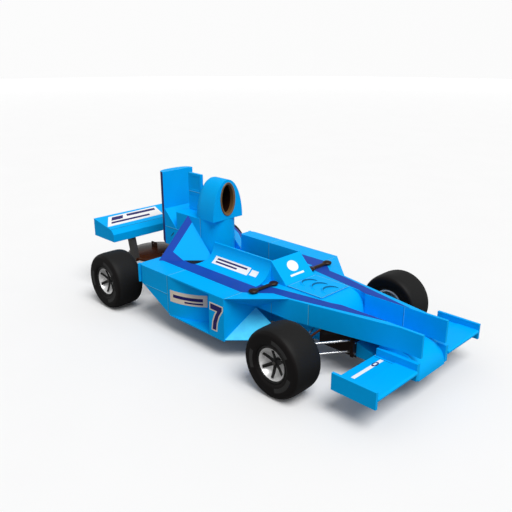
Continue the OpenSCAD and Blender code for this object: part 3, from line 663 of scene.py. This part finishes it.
# %% [markdown]
# ## Louvres
# Three crescent scoops let hot air out of the louvred panel. Each is a horseshoe ridge, pressed up
# from the sheet, that is tallest at its rounded back and sinks to nothing at its two ends. A dark
# wall inside the ridge is painted shade: it stands for the shadow in the opening.

# %% Crescent scoops
panel_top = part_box("louvre_panel")[1].z


def half_oval(middle, reach_back, half_width, lift=0.0, count=41):
    """Middle less reach times sin, width times cos, and the lift times the root of sin upward."""
    turn = np.linspace(0, np.pi, count)
    back = middle - reach_back * np.sin(turn)
    line = spot(*np.stack([back, half_width * np.cos(turn), 0 * turn], -1))
    line[:, 2] = panel_top - 0.001 + lift * np.sqrt(np.abs(np.sin(turn)))
    return line


def ridge(*lines):
    """A bar whose section's corners run along the given lines."""
    return grid_shape(np.stack(lines, 1))


scoops = (1.62, 2.23, 2.86)
CREST, WALL_TOP = 0.017, 0.0165
crests = [ridge(half_oval(x, 0.46, 0.45), half_oval(x, 0.46, 0.45, CREST),
                half_oval(x, 0.48, 0.47, CREST), half_oval(x, 0.57, 0.52)) for x in scoops]
shade_walls = [ridge(half_oval(x, 0.42, 0.43), half_oval(x, 0.45, 0.44, WALL_TOP),
               half_oval(x, 0.465, 0.455, WALL_TOP), half_oval(x, 0.465, 0.455)) for x in scoops]
# The dark walls are painted shade in the scoops' openings.
build("louvre_painted_shade", shade_walls, dark_joint_and_painted_shade)
build("louvre_lips", crests, sky_paint)
print("scoops", len(scoops))

# %% [markdown]
# ## Mirrors
# Each mirror is a dark stalk with a rounded lobe at both ends, like a bone. It is one turned part:
# the radius along it is the largest of the stalk and two balls, blended, and then it is flattened.

# %% Bone-shaped mirrors
mirror_low, mirror_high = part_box("mirrors")
mirror_x, mirror_z = (mirror_low.x + mirror_high.x) / 2, (mirror_low.z + mirror_high.z) / 2
big = (mirror_high.x - mirror_low.x) / 2
small = 0.95 * big
outer_y, inner_y = mirror_high.y - big, 0.286
along = mirror_high.y - (mirror_high.y - inner_y + small) * (1 - np.cos(np.linspace(0, np.pi, 64))) / 2
balls = [np.sqrt(np.maximum(size**2 - (along - place) ** 2, 0))
         for size, place in ((big, outer_y), (small, inner_y))]
stalk = np.where((along > inner_y) & (along < outer_y), 0.5 * big, 0)
blend = sum(part**4 for part in (*balls, stalk)) ** 0.25
profile = np.stack([along, np.minimum(blend, big)], -1)
bone, bone_faces = turned(profile, (mirror_x, 0, mirror_z), 40, closed=False)
flatter = (mirror_high.z - mirror_low.z) / 2 / big
bone = (bone - [0, 0, mirror_z]) * [1, 1, flatter] + [0, 0, mirror_z]
bones = build("mirror_bones", on_both([(bone, bone_faces)]), dark_brown)
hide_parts("mirrors")
print("mirrors", np.round(bone.min(0), 3), np.round(bone.max(0), 3))

# %% [markdown]
# ## Wheels
# Each wheel is a fat slick tyre on a deep rim. All of it is turned about the axle, apart from the
# six spokes and the flats of the centre nut. A tyre's section is a rounded rectangle: a power
# curve gives flat tread, upright walls and soft shoulders from one formula.

# %% Tyre sections
def tyre_section(half, inner, outer, power=4.4, inner_power=3.2, count=96):
    """Half sizes times cos and sin, each to two over the power; a lower power rounds more."""
    turn = np.linspace(0, 2 * np.pi, count, endpoint=False) + 0.01
    c, s = np.cos(turn), np.sin(turn)
    bend = 2 / np.where(s > 0, power, inner_power)
    wide = half * np.sign(c) * np.abs(c) ** bend
    tall = (outer - inner) / 2 * np.sign(s) * np.abs(s) ** bend + (outer + inner) / 2
    return np.stack([wide, tall], -1)


# %% [markdown]
# ## Spokes, bowl and sidewall bands
# A spoke is an oval section carried from the hub to the bowl. The bowl is a dish behind the
# spokes, and the raised bands follow the tyre's own section between two radii. Their lighter grey
# is painted sheen on the bulge of the sidewall.

# %% Spokes, bowl and sidewall bands
def spoke(angle, side, centre, root, tip, root_at, tip_at):
    """An oval section from root to tip: it narrows with the way out and moves out as its 1.5 power."""
    out = np.linspace(0, 1, 12)[:, None]
    round_it = np.linspace(0, 2 * np.pi, 16, endpoint=False)[None, :]
    radial = root + (tip - root) * out + 0 * round_it
    across = (0.019 - 0.004 * out) * np.cos(round_it)
    axial = side * (root_at + (tip_at - root_at) * out**1.5 + 0.009 * np.sin(round_it))
    points = [radial * cos(angle) - across * sin(angle), axial,
              radial * sin(angle) + across * cos(angle)]
    return grid_shape(np.stack(np.broadcast_arrays(*points), -1) + np.asarray(centre))


def bowl_section(rim_at, rim_radius, floor_at=0.050, hole=0.036, thick=0.004, count=24):
    """A dish: its depth grows with the fourth power of the radius, and its back lies a wall behind."""
    radius = np.linspace(hole, rim_radius, count)
    outward = floor_at + (rim_at - floor_at) * (radius / rim_radius) ** 4
    front = np.stack([outward, radius], -1)
    return np.concatenate([front, (front - [thick, 0])[::-1]])


def wall_arc(section, side, centre, start, stop, low=0.212, high=0.252, count=40):
    """A raised band for painted sheen: the tyre's own section between two radii, lifted and swept part way
    round.
    """
    outer_wall = section[section[:, 0] > 0]
    order = np.argsort(outer_wall[:, 1])
    radius = np.linspace(low, high, 8)
    wall = np.interp(radius, outer_wall[order, 1], outer_wall[order, 0])
    front = np.stack([wall + 0.0008, radius], -1)
    back = np.stack([wall - 0.002, radius], -1)
    outward, radius = np.concatenate([front, back[::-1]]).T
    turn = np.radians(np.linspace(start, stop, count))[:, None]
    swept = [radius * np.cos(turn), np.broadcast_to(side * outward, (count, len(outward))),
             radius * np.sin(turn)]
    return grid_shape(np.stack(swept, -1) + np.asarray(centre))


def both_faces(profile, side):
    """A profile drawn with outward positive, turned round for a wheel on the right."""
    return np.asarray(profile, float) * [side, 1.0]


# %% [markdown]
# ## Tyre
# Each wheel takes its middle, width and radius from its CAD tyre and rim. Tread and sidewalls are
# one mesh with two rubbers: a face is sidewall when it's well inside the tread or well outside
# its edge.

# %% Tyre with its sidewall bands
SHEEN_BANDS = ((-75, 62), (35, 50), (160, 45))
TREAD_EDGE = 0.022
SHOULDER = 0.040


def sizes(node):
    """The middle of a wheel's box, half its width along Y and its radius, half its height."""
    low, high = (np.array(corner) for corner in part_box(node))
    return (low + high) / 2, (high - low)[1] / 2, (high - low)[2] / 2


def add_tyre(place, centre, side, bead):
    """A tyre from just inside the rim's bead to the CAD tyre's radius, and its raised bands of painted
    sheen.
    """
    half, outer = sizes("tyre_" + place)[1:]
    body = home["tyre_" + place]
    section = tyre_section(half - 0.001, bead - 0.012, outer)
    rubbers = [tread_rubber, wall_rubber]
    tyre = build("slick_tyre_" + place, [turned(section, centre, 128)], rubbers, body)
    middles = face_values(tyre.data, "center") - centre
    from_axle = np.hypot(middles[:, 0], middles[:, 2])
    on_wall = (from_axle < outer - SHOULDER) | (np.abs(middles[:, 1]) > half - TREAD_EDGE)
    tyre.data.polygons.foreach_set("material_index", on_wall.astype(int))
    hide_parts("tyre_" + place)
    # The bands' lighter grey is painted sheen on the sidewall's bulge.
    bands = [wall_arc(section, side, centre, start, start + sweep) for start, sweep in SHEEN_BANDS]
    build("sidewall_sheen_arcs_" + place, bands, sidewall_sheen, body)


print("bands on each tyre", len(SHEEN_BANDS))

# %% [markdown]
# ## Rim
# The bright barrel ends in a dark rounded lip, and the bowl closes it behind the spokes. Profiles
# are drawn with outward positive and turned round for the wheels on the right.

# %% Barrel, lip and bowl
def add_rim(place, centre, side, bead, lip_at):
    """Three turned parts, drawn from the bead's radius and from where the lip lies along Y."""
    body = home["tyre_" + place]
    barrel = [(lip_at - 0.004, bead - 0.009), (lip_at - 0.010, bead - 0.003),
              (-lip_at + 0.010, bead - 0.003), (-lip_at, bead + 0.008),
              (-lip_at - 0.004, bead), (-lip_at, bead - 0.010),
              (-lip_at + 0.03, bead - 0.013), (0.02, bead - 0.013)]
    rim = build("rim_barrel_" + place, [turned(both_faces(barrel, side), centre)], rim_metal, body)
    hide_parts("rim_" + place)
    lip = [(lip_at - 0.006, bead - 0.011), (lip_at + 0.001, bead - 0.008),
           (lip_at + 0.006, bead + 0.002), (lip_at + 0.002, bead + 0.012),
           (lip_at - 0.008, bead + 0.008), (lip_at - 0.012, bead - 0.002)]
    build("rim_lip_" + place, [turned(both_faces(lip, side), centre)], spoke_black, body)
    bowl = both_faces(bowl_section(lip_at - 0.004, bead - 0.010), side)
    build("rim_bowl_" + place, [turned(bowl, centre)], rim_metal, body)


# %% [markdown]
# ## Spokes, hub, nut and brake disc
# Six dark spokes lean outward from the hub. The centre nut is a turned part with only six steps
# round, and the brake disc is a plain ring behind the bowl.

# %% Spokes, hub, nut and brake disc
SPOKES = 6
spoke_angles = np.radians(90 + 360 / SPOKES * np.arange(SPOKES))


def add_spokes(place, centre, side, bead, lip_at):
    """The spokes run from the root's depth to the tip's, and the hub and nut follow the root."""
    body = home["tyre_" + place]
    tip_at, root_at = lip_at - 0.018, lip_at - 0.054
    arms = [spoke(angle, side, centre, 0.020, bead - 0.034, root_at, tip_at)
            for angle in spoke_angles]
    build("spokes_" + place, arms, spoke_black, body)
    hub = [(-0.058, 0), (-0.058, 0.040), (0.040, 0.042), (0.048, 0.036), (root_at, 0.034),
           (root_at + 0.011, 0.030), (root_at + 0.014, 0.022), (root_at + 0.014, 0)]
    build("hub_" + place, [turned(both_faces(hub, side), centre, closed=False)], spoke_black, body)
    nut = np.array([(0, 0), (0, 0.017), (0.010, 0.017), (0.012, 0.014), (0.012, 0.008),
                    (0.015, 0.007), (0.015, 0)]) + [root_at + 0.012, 0]
    six_sided = turned(both_faces(nut, side), centre, 6, closed=False)
    build("centre_nut_" + place, [six_sided], strut_metal, body)
    disc = [(-0.052, 0.058), (-0.040, 0.058), (-0.040, 0.128), (-0.052, 0.128)]
    build("brake_disc_" + place, [turned(both_faces(disc, side), centre)], cast_metal, body)


print("spokes in each wheel", SPOKES)

# %% [markdown]
# ## Four wheels
# The same three steps make every wheel. Only the middle, the side of the car and the rim's width
# and radius differ.

# %% Put the four wheels together
for place in ("front_right", "front_left", "rear_right", "rear_left"):
    centre = sizes("tyre_" + place)[0]
    side = np.sign(centre[1])
    edge, bead = sizes("rim_" + place)[1:]
    lip_at = edge - 0.018
    add_tyre(place, centre, side, bead)
    add_rim(place, centre, side, bead, lip_at)
    add_spokes(place, centre, side, bead, lip_at)
    print(place, "rim radius", round(bead, 4), "lip at", round(lip_at, 4))

# %% [markdown]
# ## Suspension details
# The pushrods run from the outer end of the upper wishbones to the underside of the beams, and
# hex bolts hold the wishbones to their brackets. Both are short round bars.

# %% Pushrods and bracket bolts
bulkhead_low, bulkhead_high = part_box("front_bulkhead")
axle_x = (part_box("tyre_front_right")[0].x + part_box("tyre_front_right")[1].x) / 2
beam_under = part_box("nose_beam_right")[0].z
rod = np.array([(axle_x, -0.645, 0.398), (axle_x + 0.001, -0.52, 0.4175),
                (axle_x + 0.003, -0.385, beam_under - 0.001)])
collar = rod[0] + (rod[2] - rod[0]) * np.array([[0.12], [0.28]])
build("front_pushrods", on_both([tube(rod, 0.011), tube(collar, 0.016)]), copper_gloss)
bolt_x = np.array([bulkhead_high.x - 0.001, bulkhead_high.x + 0.008])
bolts = [tube([(x, bulkhead_low.y + 0.028, height) for x in bolt_x], 0.010, 6)
         for height in (0.249, 0.363)]
build("bracket_bolts", on_both(bolts), plated_tube)
print("pushrods and bolts")

# %% [markdown]
# ## Floor
# The car stands on a plain pale floor. It looks lighter to the camera than the light that it gives
# back, so the car's sides stay dark.

# %% Floor
def add_stage(name, points, faces, material):
    """A mesh round the car, not attached to any of its bodies."""
    mesh = bpy.data.meshes.new(name)
    mesh.from_pydata(points, [], faces)
    mesh.materials.append(material)
    obj = bpy.data.objects.new(name, mesh)
    bpy.context.scene.collection.objects.link(obj)
    return obj


FLOOR_REACH = 60.0
floor_paint = finish("pale_floor", (0.88, 0.88, 0.88), 0.85, specular=0.1, spread=0.005, grain=1.0)
nodes, links = floor_paint.node_tree.nodes, floor_paint.node_tree.links
soft_bounce = nodes.new("ShaderNodeBsdfDiffuse")
soft_bounce.inputs["Color"].default_value = (0.20, 0.20, 0.20, 1.0)
choose = nodes.new("ShaderNodeMixShader")
links.new(nodes.new("ShaderNodeLightPath").outputs["Is Camera Ray"], choose.inputs["Fac"])
links.new(soft_bounce.outputs["BSDF"], choose.inputs[1])
links.new(nodes["Principled BSDF"].outputs["BSDF"], choose.inputs[2])
links.new(choose.outputs["Shader"], nodes["Material Output"].inputs["Surface"])
floor_corners = [(-FLOOR_REACH, -FLOOR_REACH, 0), (FLOOR_REACH, -FLOOR_REACH, 0),
                 (FLOOR_REACH, FLOOR_REACH, 0), (-FLOOR_REACH, FLOOR_REACH, 0)]
add_stage("floor", floor_corners, [(0, 1, 2, 3)], floor_paint)

# %% [markdown]
# ## Sky and horizon
# The sky is a soft white dome that also looks lighter than the light it gives. A ring of glow round
# the floor hides the line where floor and sky meet.

# %% Sky and horizon
world = bpy.data.worlds.new("soft_sky")
bpy.context.scene.world = world
world.use_nodes = True
nodes, links = world.node_tree.nodes, world.node_tree.links
nodes["Background"].inputs["Color"].default_value = (1.0, 1.0, 1.0, 1.0)
sky_strength = nodes.new("ShaderNodeMapRange")
sky_strength.inputs["To Min"].default_value = 0.40
sky_strength.inputs["To Max"].default_value = 0.95
links.new(nodes.new("ShaderNodeLightPath").outputs["Is Camera Ray"], sky_strength.inputs["Value"])
links.new(sky_strength.outputs["Result"], nodes["Background"].inputs["Strength"])

glow = bpy.data.materials.new("horizon_glow")
glow.use_nodes = True
glow_shader = glow.node_tree.nodes["Principled BSDF"]
glow_shader.inputs["Base Color"].default_value = (0, 0, 0, 1)
glow_shader.inputs["Emission Color"].default_value = (1, 1, 1, 1)
glow_shader.inputs["Emission Strength"].default_value = 0.95
SCREEN_RADIUS, SCREEN_HEIGHT = 50, 9.0
turn = np.linspace(0, 2 * np.pi, 64, endpoint=False)
low_ring = np.stack([SCREEN_RADIUS * np.cos(turn), SCREEN_RADIUS * np.sin(turn), 0 * turn], -1)
high_ring = low_ring + [0, 0, SCREEN_HEIGHT]
ring_points, ring_faces = grid_shape(np.stack([low_ring, high_ring]), caps=False)
add_stage("horizon_screen", ring_points.tolist(), ring_faces, glow)
print("floor and horizon", len(ring_faces), "squares")

# %% [markdown]
# ## Sun and camera
# One wide soft sun from the front right makes the tops brightest, the front faces next and the side
# faces darkest. The camera looks back along a line given by its turn and its height in degrees.

# %% Sun and camera
sun = bpy.data.lights.new("soft_key", "SUN")
sun.energy = 2.5
sun.angle = radians(35)
key = bpy.data.objects.new("soft_key", sun)
key.rotation_euler = Vector((0.487, -0.139, 0.862)).to_track_quat("Z", "Y").to_euler()
bpy.context.scene.collection.objects.link(key)

aim = Vector((-0.3334, 0.3423, 0.6))
azimuth, elevation, distance = radians(44.94), radians(19.35), 7.2236
back = Vector((cos(elevation) * sin(azimuth), -cos(elevation) * cos(azimuth), sin(elevation)))
lens = bpy.data.cameras.new("camera")
lens.lens = 43.129
lens.sensor_width = 36.0
camera = bpy.data.objects.new("camera", lens)
camera.location = aim + distance * back
camera.rotation_euler = back.to_track_quat("Z", "Y").to_euler()
bpy.context.scene.collection.objects.link(camera)
bpy.context.scene.camera = camera
bpy.context.scene.view_settings.view_transform = "Standard"
print("camera", round(distance, 2), "m from the car, lens", lens.lens, "mm")
